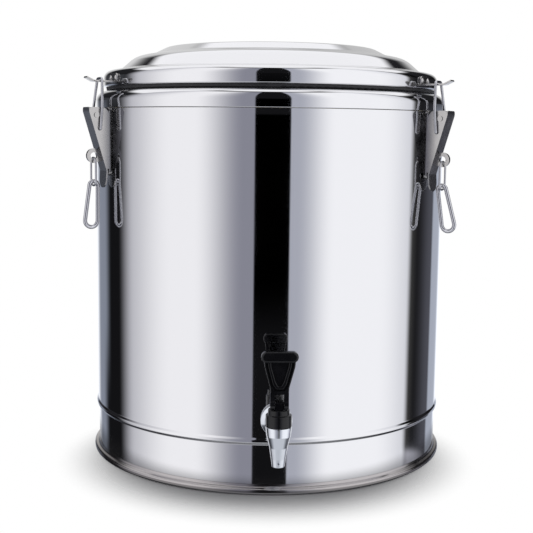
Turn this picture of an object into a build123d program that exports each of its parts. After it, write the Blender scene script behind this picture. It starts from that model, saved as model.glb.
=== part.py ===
from build123d import *
from math import asin, atan2, cos, hypot, pi, sin, tan
import os

# Driving dimensions, in mm. The barrel stands on z = 0, its axis is Z and the tap faces -Y.

# Barrel
SHELL_R = 180.0
SHELL_T = 1.0
SKIRT_R = 179.0
SKIRT_Z = 9.1
RIB_Z = 50.0
RIB_OUT = 1.6
SHELL_TOP = 352.9
FOOT_R = 184.0
COLLAR_BOTTOM = 353.2
COLLAR_TOP = 371.0
COLLAR_SHOULDER = 10.0
COLLAR_MOUTH_R = 163.5
COLLAR_T = 1.2
TANK_R = 158.0
TANK_FLOOR = 50.0
TANK_T = 1.0
TANK_CORNER = 6.0
TANK_SEAM = 56.0
TANK_FLANGE_Z = 367.4

# Lid
BAND_R = 172.3
BAND_BOTTOM = 374.6
LID_TOP = 416.4
LID_T = 1.0
PLUG_R = 154.0
PLUG_BOTTOM = 362.0
GASKET_R = 169.5
HOOK_T = 1.6

# Latches: azimuth from the tap, positive to its right
LATCH_TURN = -4.0
LATCHES = {
    "right": 60.0 + LATCH_TURN,
    "left": -60.0 + LATCH_TURN,
    "rear": 180.0 + LATCH_TURN,
}
PIVOT = (14.0, 346.0)  # lever pin: distance out from the shell, height
BAIL_PIN = (11.2, 332.5)
BAIL_TOP = (7.5, 381.0)
LEVER_HEAD = 353.5
LEVER_HALF = 9.3
LEVER_T = 1.3
WING_GAP = 1.8  # inner edge of the lever's wings, off the shell
EAR_OUT = 7.6
EAR_T = 1.4
WIRE_R = 1.3
BAIL_HALF = 12.0
BAIL_TOP_HALF = 6.6
BAIL_TAPER = 27.0
EYE = (14.6, 307.0)
EYE_R = 7.0
EYE_HOLE_R = 3.3
LINK_WIRE_R = 1.0
LINK_R = 6.8
LINK_LENGTH = 27.0
LOOP_WIRE_R = 2.0
LOOP_TOP_R = 4.2
LOOP_END_R = 6.4
LOOP_HANG = {"right": 8.0, "left": 0.0, "rear": 0.0}  # degrees that each loop hangs away from the shell
RIVET_R = 1.6
BASE_RIVETS = [(-3.4, 304.0), (3.4, 304.0), (-3.4, 331.0), (3.4, 331.0)]
HOOK_RIVETS = [(-6.3, 381.9), (6.3, 381.9)]

# Tap
TAP_OUT = 36.0  # spout axis, out from the shell
TAP_Z = 71.0
TAP_Y = -(SHELL_R + TAP_OUT)
SHANK_R = 9.0
SHANK_BORE_R = 5.2
NECK_Y = -194.8  # joint between the shank's flange and the body's neck
SPOUT_Z = 38.0
SEAT_Z = 64.0
BONNET_Z = 74.7
BONNET_TOP = 90.5
LEVER_PIN = (-6.2, 96.0)  # from the spout axis, height
LEVER_TOP = 143.0

PIECES = {}


def keep(name, shape):
    """Name one piece of the dispenser."""
    PIECES[name] = shape


# Shared shape helpers


def shifted(points, d):
    """An open path of (x, y, corner radius), moved d to its left, with its corners kept concentric."""
    out = []
    last = len(points) - 1
    for i, (x, y, r) in enumerate(points):
        a = points[max(i - 1, 0)]
        b = points[min(i + 1, last)]
        u = unit(a, points[i]) if i else unit(points[i], b)
        v = unit(points[i], b) if i < last else u
        turn = u[0] * v[1] - u[1] * v[0]
        half = tan(atan2(turn, u[0] * v[0] + u[1] * v[1]) / 2)
        x2 = x - u[1] * d - u[0] * d * half
        y2 = y + u[0] * d - u[1] * d * half
        out.append((x2, y2, max(r - d if turn > 0 else r + d, 0.0) if r else 0.0))
    return out


def unit(a, b):
    """Direction from a to b in the plane."""
    dx, dy = b[0] - a[0], b[1] - a[1]
    n = hypot(dx, dy)
    return dx / n, dy / n


def path_edges(points, place):
    """Lines and corner arcs along a path of (x, y, corner radius), placed in space by place(x, y)."""
    edges = []
    start = points[0][:2]
    for i in range(1, len(points)):
        x, y, r = points[i]
        if r < 0.02 or i == len(points) - 1:
            edges.append(Line(place(*start), place(x, y)))
            start = (x, y)
            continue
        u = unit(points[i - 1], points[i])
        v = unit(points[i], points[i + 1])
        turn = atan2(u[0] * v[1] - u[1] * v[0], u[0] * v[0] + u[1] * v[1])
        cut = r * abs(tan(turn / 2))
        a = (x - u[0] * cut, y - u[1] * cut)
        b = (x + v[0] * cut, y + v[1] * cut)
        w = (v[0] - u[0], v[1] - u[1])
        n = hypot(*w)
        reach = hypot(cut, r) - r
        mid = (x + w[0] / n * reach, y + w[1] / n * reach)
        if hypot(a[0] - start[0], a[1] - start[1]) > 1e-6:
            edges.append(Line(place(*start), place(*a)))
        edges.append(ThreePointArc(place(*a), place(*mid), place(*b)))
        start = b
    return edges


def area(points, place):
    """Face inside a closed path of (x, y, corner radius)."""
    return make_face(path_edges(list(points) + [points[0][:2] + (0.0,)], place))


def sheet(points, t, place):
    """Face of a bent sheet: the path, and the same path t to its left."""
    return area(list(points) + shifted(points, t)[::-1], place)


def rz(r, z):
    """A point of a turned profile."""
    return Vector(r, 0, z)


def turned(face):
    """Solid of revolution about the barrel's axis."""
    return revolve(face, axis=Axis.Z)


def at(out, z, across=0.0):
    """A point at the front of the barrel: distance out of the shell, height, offset to the right."""
    return Vector(across, -(SHELL_R + out), z)


def plate(points, a, b):
    """Plate between two offsets, with its outline as (distance out, height, corner radius)."""
    face = area(points, lambda s, z: at(s, z, a))
    return extrude(face, amount=b - a, dir=(1, 0, 0))


def bent(points, t, half):
    """Bent strip of a given half width."""
    face = sheet(points, t, lambda s, z: at(s, z, -half))
    return extrude(face, amount=2 * half, dir=(1, 0, 0))


def rod_x(r, a, b, out, z):
    """Rod along the tangent, between two offsets."""
    return Pos(at(out, z, (a + b) / 2)) * Rot(0, 90, 0) * Cylinder(r, b - a)


def rod_y(r, y0, y1, x, z):
    """Rod along Y between two values of y."""
    return Pos(x, (y0 + y1) / 2, z) * Rot(90, 0, 0) * Cylinder(r, abs(y1 - y0))


def rod_z(r, z0, z1, y):
    """Upright rod at a given y."""
    return Pos(0, y, (z0 + z1) / 2) * Cylinder(r, z1 - z0)


def wire(edges, r):
    """Round wire along a path."""
    line = Wire(edges)
    return sweep(Plane(origin=line @ 0, z_dir=line % 0) * Circle(r), path=line)


def around(shape, azimuth):
    """A piece built at the front, carried round to its own azimuth."""
    return Rot(0, 0, azimuth) * shape


# Barrel


def rivet(x, z, y_in, y_out):
    """Dome-headed rivet along Y: its shank from y_in to y_out, and its head past y_out."""
    shank = rod_y(RIVET_R, y_in, y_out, x, z)
    head = Pos(x, y_out + 1.9, z) * Sphere(3.4)
    return shank + (head & rod_y(2.8, y_out - 3, y_out, x, z))


def rivet_holes(spots, y0, y1):
    """Bores for a row of rivets."""
    return [rod_y(RIVET_R + 0.05, y0, y1, x, z) for x, z in spots]


def outer_shell():
    """Drum with its rolled rib, tap hole and rivet holes."""
    rib = [
        (SKIRT_R, RIB_Z - 3.6, 1.4),
        (SHELL_R + RIB_OUT, RIB_Z - 1.3, 1.6),
        (SHELL_R + RIB_OUT, RIB_Z + 1.3, 1.6),
        (SHELL_R, RIB_Z + 3.4, 1.4),
    ]
    path = [(SKIRT_R, SKIRT_Z, 0.0)] + rib + [(SHELL_R, SHELL_TOP, 0.0)]
    shell = turned(sheet(path, SHELL_T, rz))
    shell -= rod_y(SHANK_R + 1.0, -190, -150, 0, TAP_Z)
    for azimuth in LATCHES.values():
        for hole in rivet_holes(BASE_RIVETS, -190, -170):
            shell -= around(hole, azimuth)
    return shell


def base_ring():
    """Rolled foot with a ledge for the base plate."""
    path = [
        (174.0, 0.0, 0.0),
        (FOOT_R, 0.0, 2.4),
        (FOOT_R, 5.2, 2.2),
        (SKIRT_R + 0.8, 6.6, 1.5),
        (SKIRT_R + 0.3, 9.0, 0.0),
        (177.9, 9.0, 0.0),
        (177.9, 6.4, 0.0),
        (168.0, 6.4, 0.0),
        (168.0, 5.0, 0.0),
        (174.0, 5.0, 0.0),
    ]
    return turned(area(path, rz))


def base_plate():
    """Pressed disc that closes the barrel from below, dished up in the middle."""
    path = [(0.0, 9.5, 0.0), (150.0, 9.5, 4.0), (156.0, 6.5, 4.0), (177.6, 6.5, 0.0)]
    return turned(sheet(path, 1.2, rz))


def inner_tank():
    """Rolled tank wall with a flange that hangs under the collar, and the bore for the tap."""
    r = TANK_R + TANK_T
    path = [(r, TANK_SEAM, 0.0), (r, TANK_FLANGE_Z, 2.2), (172.0, TANK_FLANGE_Z, 0.0)]
    tank = turned(sheet(path, TANK_T, rz))
    return tank - rod_y(SHANK_R + 1.0, -170, -140, 0, TAP_Z)


def tank_floor():
    """Pressed floor with its edge turned up to meet the tank's wall."""
    r = TANK_R + TANK_T
    low = TANK_FLOOR - TANK_T
    path = [(0.0, low, 0.0), (r, low, TANK_CORNER), (r, TANK_SEAM - 0.05, 0.0)]
    return turned(sheet(path, TANK_T, rz))


def body_insulation():
    """Foam between the tank and the shell, with the sleeve's tunnel."""
    gap = 0.4
    r_in = TANK_R + TANK_T + gap
    path = [
        (0.0, 11.1, 0.0),
        (158.0, 11.1, 0.0),
        (158.0, 9.3, 0.0),
        (177.6, 9.3, 0.0),
        (177.6, 366.6, 10.0),
        (r_in + 3.0, 366.6, 0.0),
        (r_in, 363.6, 0.0),
        (r_in, TANK_FLOOR - TANK_T - gap, TANK_CORNER + gap),
        (0.0, TANK_FLOOR - TANK_T - gap, 0.0),
    ]
    foam = turned(area(path, rz))
    return foam - rod_y(12.2, -185, -150, 0, TAP_Z)


def top_collar():
    """Rim with a rounded shoulder and a turned-down mouth."""
    path = [
        (SHELL_R, COLLAR_BOTTOM, 0.0),
        (SHELL_R, COLLAR_TOP, COLLAR_SHOULDER),
        (COLLAR_MOUTH_R, COLLAR_TOP, 1.4),
        (COLLAR_MOUTH_R, TANK_FLANGE_Z + TANK_T + 0.2, 0.0),
    ]
    return turned(sheet(path, COLLAR_T, rz))


def outlet_sleeve():
    """Tube that carries the tap shank through the insulation."""
    tube = rod_y(12.0, -178.4, -159.2, 0, TAP_Z) - rod_y(10.4, -185, -150, 0, TAP_Z)
    ends = Cylinder(178.4, 200) - Cylinder(159.3, 200)
    return tube & (Pos(0, 0, TAP_Z) * ends)


# Lid

LID_PATH = [
    (170.2, BAND_BOTTOM, 0.0),
    (BAND_R, BAND_BOTTOM, 1.8),
    (BAND_R, 390.2, 7.6),
    (155.2, 393.0, 2.0),
    (140.5, 405.9, 25.0),
    (122.0, 409.4, 8.0),
    (108.0, LID_TOP, 10.0),
    (0.0, LID_TOP, 0.0),
]


def lid_shell():
    """Stepped dome with its vertical band."""
    lid = turned(sheet(LID_PATH, LID_T, rz))
    for azimuth in LATCHES.values():
        for hole in rivet_holes(HOOK_RIVETS, -176, -166):
            lid -= around(hole, azimuth)
    return lid


def lid_pan():
    """Inner pan with the plug that enters the tank and the flange over the gasket."""
    path = [
        (0.0, PLUG_BOTTOM, 0.0),
        (PLUG_R, PLUG_BOTTOM, 6.0),
        (PLUG_R, 377.6, 3.0),
        (170.9, 377.6, 0.0),
    ]
    return turned(sheet(path, 0.8, rz))


def lid_insulation():
    """Foam between the pan and the dome."""
    dome = shifted(LID_PATH, LID_T + 0.4)[2:-1]
    low = PLUG_BOTTOM + 1.2
    path = [
        (0.0, low, 0.0),
        (PLUG_R - 1.2, low, 5.0),
        (PLUG_R - 1.2, 378.8, 3.0),
        (168.0, 378.8, 0.0),
        *[(min(r, 168.0), z, c) for r, z, c in dome],
        (0.0, LID_TOP - LID_T - 0.4, 0.0),
    ]
    return turned(area(path, rz)) & (Pos(0, 0, 390) * Cylinder(163.0, 100))


def lid_gasket():
    """Silicone ring under the pan's flange, with two lips on the collar."""
    path = [
        (160.0, 377.5, 0.6),
        (160.0, 371.35, 1.4),
        (163.6, 371.35, 1.0),
        (164.4, 373.0, 0.8),
        (165.4, 373.0, 0.8),
        (166.2, 371.35, 1.0),
        (GASKET_R, 371.35, 1.4),
        (GASKET_R, 377.5, 0.6),
        (165.0, 377.5, 0.0),
    ]
    return turned(area(path[-1:] + path[:-1], rz))


def lid_hook():
    """Riveted strap that ends in an upturned lip for the bail."""
    inner = BAND_R - SHELL_R + 0.05
    path = [(inner, 386.0, 0.0), (inner, 377.6, 1.2), (14.5, 377.6, 7.0), (22.2, 381.2, 0.0)]
    hook = bent(path, HOOK_T, 4.6)
    strap = extrude(RectangleRounded(19.2, 8.6, 3.0), HOOK_T)
    hook += Pos(at(inner, 381.9)) * Rot(90, 0, 0) * strap
    for hole in rivet_holes(HOOK_RIVETS, -180, -165):
        hook -= hole
    return hook


def lid_parts():
    """Everything that lifts off with the lid."""
    keep("lid_shell", lid_shell())
    keep("lid_pan", lid_pan())
    keep("lid_insulation", lid_insulation())
    keep("lid_gasket", lid_gasket())
    hook = lid_hook()
    face = -(BAND_R + HOOK_T + 0.05)
    rivets = []
    for name, azimuth in LATCHES.items():
        keep("lid_hook_" + name, around(hook, azimuth))
        rivets += [around(rivet(x, z, -170.6, face), azimuth) for x, z in HOOK_RIVETS]
    keep("lid_hook_rivets", Compound(rivets))


# Latches


def latch_base():
    """Curved strip on the shell, with two ears bent up from its edges for the lever pin."""
    strip = Cylinder(SHELL_R + 1.56, 66) - Cylinder(SHELL_R + 0.06, 66)
    outline = Rot(90, 0, 0) * extrude(RectangleRounded(2 * EAR_OUT, 66, 5), 250)
    base = Pos(0, 0, 321) * (strip & outline)
    s, z = PIVOT
    web = [(0.8, z - 12, 0.0), (s - 1.2, z - 3.3, 0.0), (s - 1.2, z + 3.0, 0.0), (0.8, z - 0.8, 0.0)]
    for a in (-EAR_OUT, EAR_OUT - EAR_T):
        base += plate(web, a, a + EAR_T) + rod_x(3.5, a, a + EAR_T, s, z)
    base -= rod_x(1.53, -20, 20, s, z)
    for hole in rivet_holes(BASE_RIVETS, -190, -170):
        base -= hole
    return base


def latch_pin():
    """Headed pin that the lever turns on."""
    s, z = PIVOT
    end, head = LEVER_HALF + 1.0, 0.7
    pin = rod_x(1.5, -end, end, s, z)
    for a in (-end, end - head):
        pin += rod_x(2.7, a, a + head, s, z)
    return pin


def latch_lever():
    """Channel with two tapered wings, a rounded finger tongue and an eye on its back."""
    half = LEVER_HALF
    kink = LEVER_HEAD - 4.0
    back = [(20.3, LEVER_HEAD, 0.0), (20.3, kink, 6.0), (3.3, 293.0, 6.0), (4.4, 276.0, 0.0)]
    lever = bent(back, LEVER_T, half)
    blank = extrude(RectangleRounded(2 * half, 40, 2.6), 40)
    blank = Pos(0, -175, LEVER_HEAD - 20) * Rot(90, 0, 0) * blank
    blank += rod_y(half, -215, -175, 0, 276.2 + half)
    blank += Pos(0, -195, 312.0) * Box(2 * half, 40, 53.0)
    lever &= blank
    wing = [
        (20.8, LEVER_HEAD - 3.0, 0.0),
        (20.8, LEVER_HEAD, 2.6),
        (WING_GAP, LEVER_HEAD, 7.5),
        (WING_GAP, 294.6, 0.0),
        (3.9, 294.6, 0.0),
        (20.8, kink, 0.0),
    ]
    for a in (-half, half - LEVER_T):
        lever += plate(wing, a, a + LEVER_T)
    s, z = EYE
    lever += rod_x(EYE_R, -1.6, 1.6, s, z)
    neck = [(6.6, z - 5.5, 0.0), (12.5, z - 5.5, 0.0), (12.5, z + 5.5, 0.0), (9.9, z + 5.5, 0.0)]
    lever += plate(neck, -1.6, 1.6)
    lever -= rod_x(EYE_HOLE_R, -5, 5, s, z)
    lever -= rod_x(1.57, -20, 20, *PIVOT)
    lever -= rod_x(WIRE_R + 0.1, -20, 20, *BAIL_PIN)
    return lever


def bail():
    """Wire loop: its ends turn in the lever's sides, and its top lies in the hook."""
    ds = BAIL_TOP[0] - BAIL_PIN[0]
    dz = BAIL_TOP[1] - BAIL_PIN[1]
    reach = hypot(ds, dz)
    side, top = BAIL_HALF, BAIL_TOP_HALF
    loop = [
        (-LEVER_HALF + LEVER_T + 0.1, 0.0, 0.0),
        (-side, 0.0, 2.2),
        (-side, reach - BAIL_TAPER, 8.0),
        (-top, reach, 3.5),
        (top, reach, 3.5),
        (side, reach - BAIL_TAPER, 8.0),
        (side, 0.0, 2.2),
        (LEVER_HALF - LEVER_T - 0.1, 0.0, 0.0),
    ]

    def place(t, u):
        return at(BAIL_PIN[0] + ds * u / reach, BAIL_PIN[1] + dz * u / reach, t)

    return wire(path_edges(loop, place), WIRE_R)


def link_ring():
    """Long wire link through the lever's eye."""
    s = EYE[0]
    top = EYE[1] - EYE_HOLE_R + LINK_WIRE_R + 0.5
    low = top - LINK_LENGTH
    r = LINK_R
    upper, lower = top - r, low + r
    edges = [
        Line(at(s, lower, r), at(s, upper, r)),
        ThreePointArc(at(s, upper, r), at(s, top), at(s, upper, -r)),
        Line(at(s, upper, -r), at(s, lower, -r)),
        ThreePointArc(at(s, lower, -r), at(s, low), at(s, lower, r)),
    ]
    return wire(edges, LINK_WIRE_R)


def pull_loop(hang):
    """Pear-shaped loop of thick wire that hangs in the link, turned out from the shell by hang degrees."""
    s0 = EYE[0]
    z0 = EYE[1] - EYE_HOLE_R + LINK_WIRE_R + 0.5 - LINK_LENGTH
    s1, z1 = s0 + 2.6, z0 - 33.9
    r0, r1 = LOOP_TOP_R, LOOP_END_R
    lean = atan2(s1 - s0, z0 - z1) + hang * pi / 180
    length = hypot(s1 - s0, z1 - z0)
    s1, z1 = s0 + length * sin(lean), z0 - length * cos(lean)
    swing = asin((r1 - r0) / length)

    def spot(s, z, r, angle):
        return at(s + r * cos(angle), z + r * sin(angle))

    right = lean + swing
    left = pi + lean - swing
    top = [spot(s0, z0, r0, angle) for angle in (right, pi / 2 + lean, left)]
    end = [spot(s1, z1, r1, angle) for angle in (left, lean - pi / 2, right)]
    edges = [Line(end[2], top[0]), ThreePointArc(*top), Line(top[2], end[0]), ThreePointArc(*end)]
    return wire(edges, LOOP_WIRE_R)


def latch_parts():
    """Three draw latches on the shell."""
    kinds = {
        "latch_base": latch_base(),
        "latch_pin": latch_pin(),
        "latch_lever": latch_lever(),
        "latch_bail": bail(),
        "link_ring": link_ring(),
    }
    rivets = []
    for name, azimuth in LATCHES.items():
        for kind, shape in kinds.items():
            keep(f"{kind}_{name}", around(shape, azimuth))
        keep(f"pull_loop_{name}", around(pull_loop(LOOP_HANG[name]), azimuth))
        rivets += [around(rivet(x, z, -179.1, -181.7), azimuth) for x, z in BASE_RIVETS]
    keep("latch_rivets", Compound(rivets))


# Tap


def upright(face):
    """Solid of revolution about the spout's axis."""
    return Pos(0, TAP_Y, 0) * revolve(face, axis=Axis.Z)


def tap_body():
    """Chromed body: spout, valve chamber and the neck that takes the shank."""
    cone = [
        (0.0, SPOUT_Z, 0.0),
        (5.7, SPOUT_Z, 0.5),
        (6.7, 45.5, 3.0),
        (8.3, 56.0, 8.0),
        (10.9, 66.0, 6.0),
        (11.9, BONNET_Z - 0.1, 0.6),
        (9.5, BONNET_Z - 0.1, 0.0),
        (9.5, 83.8, 0.0),
        (0.0, 83.8, 0.0),
    ]
    body = upright(area(cone, rz))
    body += rod_y(SHANK_R, NECK_Y, TAP_Y, 0, TAP_Z)
    body -= rod_y(SHANK_BORE_R, NECK_Y + 5, TAP_Y, 0, TAP_Z)
    body -= rod_z(12.1, BONNET_Z - 0.1, 95, TAP_Y) - rod_z(9.5, 60, 95, TAP_Y)
    chamber = [
        (0.0, SPOUT_Z - 1, 0.0),
        (4.3, SPOUT_Z - 1, 0.0),
        (4.3, SEAT_Z - 2, 0.0),
        (7.8, SEAT_Z + 1.5, 0.0),
        (7.8, 90.0, 0.0),
        (0.0, 90.0, 0.0),
    ]
    body -= upright(area(chamber, rz))
    return body - (Pos(0, TAP_Y - 6, SPOUT_Z + 4) * Rot(90, 0, 0) * Cylinder(0.9, 5))


def tap_shank():
    """Chromed shank with its wall flange, joined to the body's neck."""
    flange = [
        (0.0, 0.0, 0.0),
        (14.6, 0.0, 0.4),
        (14.6, 2.2, 1.2),
        (10.2, 6.4, 5.0),
        (SHANK_R, 12.0, 0.0),
        (0.0, 12.0, 0.0),
    ]
    disc = revolve(area(flange, rz), axis=Axis.Z)
    shank = Pos(0, NECK_Y + 12, TAP_Z) * Rot(90, 0, 0) * disc
    shank += rod_y(SHANK_R, -190, -141, 0, TAP_Z)
    return shank - rod_y(SHANK_BORE_R, -138, NECK_Y - 5, 0, TAP_Z)


def tap_bonnet():
    """Black cap nut with a lug for the lever pin."""
    cap = [
        (9.65, BONNET_Z, 0.0),
        (11.6, BONNET_Z, 0.6),
        (11.6, 85.2, 1.0),
        (9.8, 85.8, 0.4),
        (9.5, BONNET_TOP, 1.2),
        (2.35, BONNET_TOP, 0.0),
        (2.35, 84.0, 0.0),
        (9.65, 84.0, 0.0),
    ]
    bonnet = upright(area(cap, rz))
    y, z = LEVER_PIN
    lug = Pos(0, TAP_Y + y, (BONNET_TOP + z) / 2 - 0.5) * Box(7.8, 4.0, z - BONNET_TOP + 1)
    lug += Pos(0, TAP_Y + y, z) * Rot(0, 90, 0) * Cylinder(2.0, 7.8)
    return bonnet + lug - (Pos(0, TAP_Y + y, z) * Rot(0, 90, 0) * Cylinder(1.2, 30))


def tap_pin():
    """Lever pin through the bonnet's lug."""
    y, z = LEVER_PIN
    return Pos(0, TAP_Y + y, z) * Rot(0, 90, 0) * Cylinder(1.18, 16)


def rounded(shape, r):
    """A plate across Y, with the edges of its front and back rounded."""
    faces = shape.faces().sort_by(Axis.Y)
    return fillet(faces[0].edges() + faces[-1].edges(), r)


def tap_lever():
    """Black paddle: forked foot with two lifting toes, ribbed shield and cross bar."""
    y, z = LEVER_PIN
    y += TAP_Y

    def xz(x, h):
        return Vector(x, y + 3.2, h)

    def slab(half, depth):
        mirrored = [(-x, h, c) for x, h, c in half[::-1]]
        return extrude(area(half + mirrored, xz), amount=depth, dir=(0, -1, 0))

    lever = slab([(8.1, 106, 0), (8.4, 111, 6), (13.4, 129.5, 12), (14.2, 138, 0)], 6.4)
    lever = rounded(lever, 0.9)
    panel = slab([(4.6, 108.4, 1.5), (7.3, 112, 4), (11.8, 129.5, 10), (12.5, 133.2, 0.5)], 2.2)
    lever -= panel
    lever -= Pos(0, -4.2, 0) * panel
    rib = slab([(3.2, 109.9, 2.5), (6.0, 114, 5), (10.1, 129.5, 8), (10.7, 136, 0)], 6.4)
    rib -= slab([(1.4, 112.5, 1.5), (3.6, 116.6, 5), (7.4, 129.5, 8), (8.0, 137, 0)], 6.4)
    lever += rounded(rib, 0.8)
    foot = slab([(8.1, z - 3.2, 0), (8.1, 107, 0)], 6.4)
    foot += Pos(0, y, z) * Rot(0, 90, 0) * Cylinder(4.6, 16.2)
    foot += Pos(0, y + 4.6, z) * Box(16.2, 9.2, 6.4)
    gap = Pos(0, y + 3.0, 93.4) * Box(8.4, 30, 23.8)
    foot -= gap
    lever -= gap
    for side in (-1, 1):
        foot += Pos(side * 3.5, TAP_Y, 94.0) * Box(1.6, 3.0, 2.0)
    lever += foot
    bar = Pos(0, y, LEVER_TOP - 4.8) * Rot(90, 0, 0) * extrude(SlotOverall(32.6, 9.6), 4.3, both=True)
    lever += rounded(bar, 2.0)
    return lever - (Pos(0, y, z) * Rot(0, 90, 0) * Cylinder(1.26, 30))


def tap_stem():
    """Lifting stem with a round head for the lever's toes."""
    stem = rod_z(2.2, 68.6, 97.9, TAP_Y)
    stem += rod_z(3.7, 95.7, 97.9, TAP_Y)
    return stem + rod_z(4.8, 68.6, 70.0, TAP_Y)


def tap_seat_cup():
    """Silicone cup that closes the spout bore."""
    cup = [(0.0, 61.8, 0.0), (3.7, 61.8, 0.8), (7.2, 65.3, 0.8), (7.2, 68.5, 0.6), (0.0, 68.5, 0.0)]
    return upright(area(cup, rz))


def tap_spring():
    """Closing spring between the stem's collar and the bonnet."""
    r = 0.45
    helix = Pos(0, TAP_Y, 70.7) * Helix(pitch=2.5, height=12.5, radius=3.6)
    return sweep(Plane(origin=helix @ 0, z_dir=helix % 0) * Circle(r), path=helix, is_frenet=True)


def tap_nut():
    """Hexagon nut on the shank, inside the tank."""
    hexagon = extrude(RegularPolygon(15.0, 6), 8.0)
    nut = Pos(0, -146.6, TAP_Z) * Rot(90, 0, 0) * hexagon
    return nut - rod_y(SHANK_R + 0.1, -170, -130, 0, TAP_Z)


def washer(r, y0, y1):
    """Flat ring on the shank."""
    return rod_y(r, y0, y1, 0, TAP_Z) - rod_y(SHANK_R + 0.3, -200, -130, 0, TAP_Z)


def tap_parts():
    """The tap and what holds it in the wall."""
    keep("tap_body", tap_body())
    keep("tap_shank", tap_shank())
    keep("tap_bonnet", tap_bonnet())
    keep("tap_lever", tap_lever())
    keep("tap_pin", tap_pin())
    keep("tap_stem", tap_stem())
    keep("tap_seat_cup", tap_seat_cup())
    keep("tap_spring", tap_spring())
    keep("tap_nut", tap_nut())
    keep("tap_washer_outer", washer(14.0, -182.7, -180.1))
    keep("tap_washer_inner", washer(13.5, -157.2, -154.7))
    keep("outlet_sleeve", outlet_sleeve())


def body_parts():
    """The barrel itself."""
    keep("outer_shell", outer_shell())
    keep("base_ring", base_ring())
    keep("base_plate", base_plate())
    keep("inner_tank", inner_tank())
    keep("tank_floor", tank_floor())
    keep("body_insulation", body_insulation())
    keep("top_collar", top_collar())


body_parts()
lid_parts()
latch_parts()
tap_parts()

os.makedirs("parts", exist_ok=True)
for name, shape in PIECES.items():
    export_step(shape, f"parts/{name}.step")
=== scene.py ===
"""Looks of an insulated drinks dispenser: a polished steel drum with a clamp-down lid and a tap."""

import logging
import math
from dataclasses import dataclass
from enum import Enum

import bmesh
import bpy
from mathutils import Matrix, Vector


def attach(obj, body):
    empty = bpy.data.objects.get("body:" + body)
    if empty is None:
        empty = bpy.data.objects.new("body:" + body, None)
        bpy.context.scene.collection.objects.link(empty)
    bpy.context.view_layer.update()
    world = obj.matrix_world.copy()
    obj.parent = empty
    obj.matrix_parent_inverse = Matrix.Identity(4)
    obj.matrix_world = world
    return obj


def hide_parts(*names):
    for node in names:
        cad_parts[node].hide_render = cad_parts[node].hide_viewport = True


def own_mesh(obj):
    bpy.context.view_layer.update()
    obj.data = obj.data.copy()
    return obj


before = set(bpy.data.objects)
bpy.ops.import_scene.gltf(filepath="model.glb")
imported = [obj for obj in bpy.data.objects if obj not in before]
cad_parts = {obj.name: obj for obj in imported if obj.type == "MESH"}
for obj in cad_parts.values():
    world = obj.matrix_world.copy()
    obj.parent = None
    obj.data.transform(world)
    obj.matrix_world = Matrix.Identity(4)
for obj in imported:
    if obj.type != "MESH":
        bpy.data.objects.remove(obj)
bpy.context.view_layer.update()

LOG = logging.getLogger("dispenser")
MM_PER_METRE = 1000
MM = 1 / MM_PER_METRE
SIDES = ("right", "left", "rear")

Socket = bpy.types.NodeSocket
Span = tuple[float, float]
# Radius from the drum's axis, height and rounding of a path's corner, in millimetres.
Corner = tuple[float, float, float]
# Radius and height of a point on an outline, and whether its edge is sharp.
Spot = tuple[float, float, bool]

# Nearly all of a noise texture lies between these values.
NOISE_SPAN: Span = (0.3, 0.7)
# Width of a moulding's patches, in grains, and the strength of its grain as bump.
PATCH_GRAINS = 24
SKIN_STRENGTH = 0.6

# A corner with less rounding or less turn than this stays one point.
LEAST_ROUND_MM = 0.02
LEAST_TURN_RAD = 1e-3
# One point that turns by more than this is a sharp edge.
SHARP_TURN_RAD = 0.35
# Turn between two points of an arc.
ARC_STEP_DEG = 6.0
# A run longer than this is held flat, by a point this far from each of its soft ends.
LONG_RUN_MM = 3.0
HOLD_MM = 0.3
# Points round a turned piece, and the radius under which one point is enough.
TURNS = 320
ON_AXIS_MM = 1e-4

# A kept solid's edges are broken after points this close are joined, in this many steps, where
# its faces meet at more than this angle.
WELD_MM = 0.002
EDGE_SEGMENTS = 3
EDGE_FROM_DEG = 35.0


def linear(code: str) -> tuple[float, float, float, float]:
    """Turn an sRGB hex colour into linear RGBA.

    Args:
        code: Six hex digits after a hash sign.

    Returns:
        Linear red, green, blue and an alpha of one.
    """
    parts = [int(code[i:i + 2], 16) / 255 for i in (1, 3, 5)]
    rgb = [c / 12.92 if c <= 0.04045 else ((c + 0.055) / 1.055) ** 2.4 for c in parts]
    return rgb[0], rgb[1], rgb[2], 1.0


def cycles(size_mm: float) -> float:
    """Turn a pattern's real size into the scale of its texture."""
    return MM_PER_METRE / size_mm


def add(
    tree: bpy.types.NodeTree,
    kind: str,
    links: dict[str | int, object] | None = None,
    **settings: object,
) -> bpy.types.Node:
    """Add one node with its settings and links.

    Args:
        tree: Node tree that gets the node.
        kind: Blender's type name, without the ShaderNode prefix.
        links: Input name or number, mapped to an output socket or a plain value.
        **settings: Properties of the node itself.

    Returns:
        The new node.
    """
    node = tree.nodes.new("ShaderNode" + kind)
    for key, value in settings.items():
        setattr(node, key, value)
    for key, value in (links or {}).items():
        if isinstance(value, Socket):
            tree.links.new(value, node.inputs[key])
        else:
            node.inputs[key].default_value = value
    return node


def start_finish(name: str) -> tuple[bpy.types.Material, bpy.types.NodeTree, bpy.types.Node]:
    """Start a finish as a node material.

    Args:
        name: Material and process.

    Returns:
        The material, its node tree and its shader.
    """
    mat = bpy.data.materials.new(name)
    mat.use_nodes = True
    return mat, mat.node_tree, mat.node_tree.nodes["Principled BSDF"]


def wander(shader: bpy.types.Node, patch: Socket, mean: float, spread: float) -> None:
    """Let a finish's roughness wander with a pattern.

    Args:
        shader: Shader of the finish.
        patch: The pattern.
        mean: Mean roughness.
        spread: How far the roughness goes to either side.
    """
    tree = shader.id_data
    rough = add(
        tree,
        "MapRange",
        {
            "Value": patch,
            "From Min": NOISE_SPAN[0],
            "From Max": NOISE_SPAN[1],
            "To Min": mean - spread,
            "To Max": mean + spread,
        },
    )
    tree.links.new(rough.outputs["Result"], shader.inputs["Roughness"])


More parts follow.
